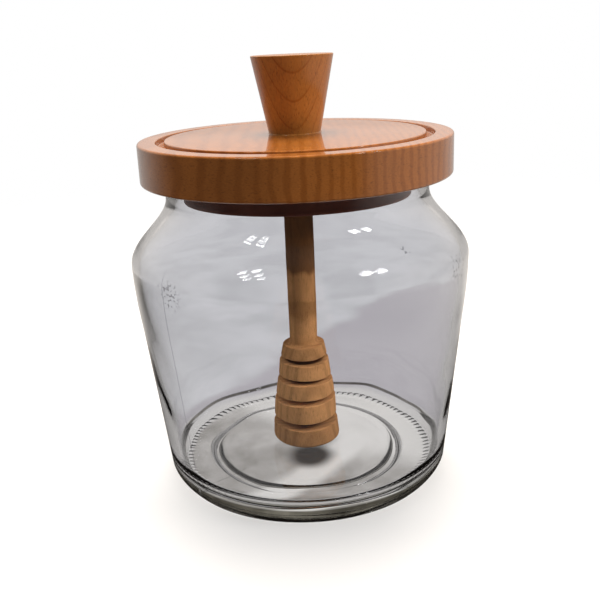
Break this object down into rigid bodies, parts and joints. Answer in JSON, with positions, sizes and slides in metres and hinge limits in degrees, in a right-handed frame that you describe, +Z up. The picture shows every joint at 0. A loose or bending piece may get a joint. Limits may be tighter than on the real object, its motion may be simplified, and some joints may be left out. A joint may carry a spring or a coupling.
{
  "type": "honey jar with dipper",
  "caption": "Empty clear glass honey jar with a full shoulder, shut by a thick turned wooden lid with a tapered knob, a dark seal and a ringed dipper that hangs inside.",
  "frame": {"origin": "middle of the ring that the jar stands on", "axes": "+Z up along the jar's axis, all pieces turned about it"},
  "size_m": [0.1326, 0.1326, 0.1653],
  "materials": {
    "clear_glass": "clear, glossy, fire polished",
    "lid_wood": "beech, stained red brown, gloss varnish",
    "knob_wood": "beech, stained red brown, gloss varnish",
    "dipper_wood": "plain beech, oiled, matt",
    "dark_rubber": "dark brown, matt"
  },
  "bodies": {
    "root": {"glass_jar": "clear_glass", "lid": "lid_wood", "knob": "knob_wood", "seal_ring": "dark_rubber", "dipper": "dipper_wood"}
  },
  "joints": []
}
